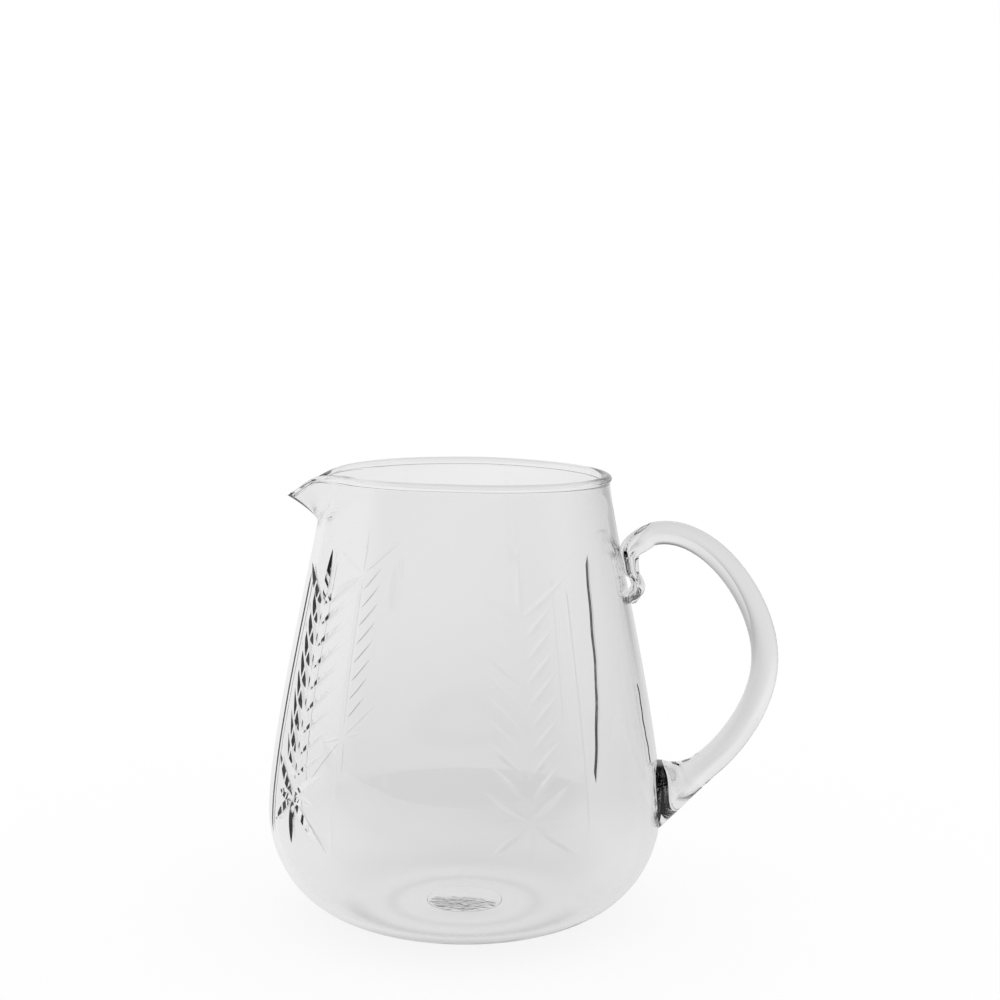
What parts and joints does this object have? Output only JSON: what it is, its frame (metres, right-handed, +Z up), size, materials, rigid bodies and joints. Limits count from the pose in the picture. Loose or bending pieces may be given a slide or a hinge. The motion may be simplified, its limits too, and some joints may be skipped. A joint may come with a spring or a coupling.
{
  "type": "glass jug",
  "caption": "Clear glass jug with a rounded low belly, a pulled pouring lip, a beaded rim and an applied rod handle, for serving water or wine.",
  "frame": {"origin": "on the table plane, under the middle of the jug's overall length and width, handle and spout included", "axes": "+X from the spout towards the handle, +Z up from the foot to the rim"},
  "size_m": [0.198, 0.154, 0.1749],
  "materials": {
    "body_glass": "polished blown glass",
    "rim_glass": "fire-polished glass",
    "punty_glass": "rough broken glass",
    "handle_glass": "smooth drawn glass"
  },
  "bodies": {
    "root": {"vessel_body": "body_glass", "rim_bead": "rim_glass", "punty_mark": "punty_glass", "handle_grip": "handle_glass", "handle_lower_root": "handle_glass", "handle_upper_tail": "handle_glass"}
  },
  "joints": []
}
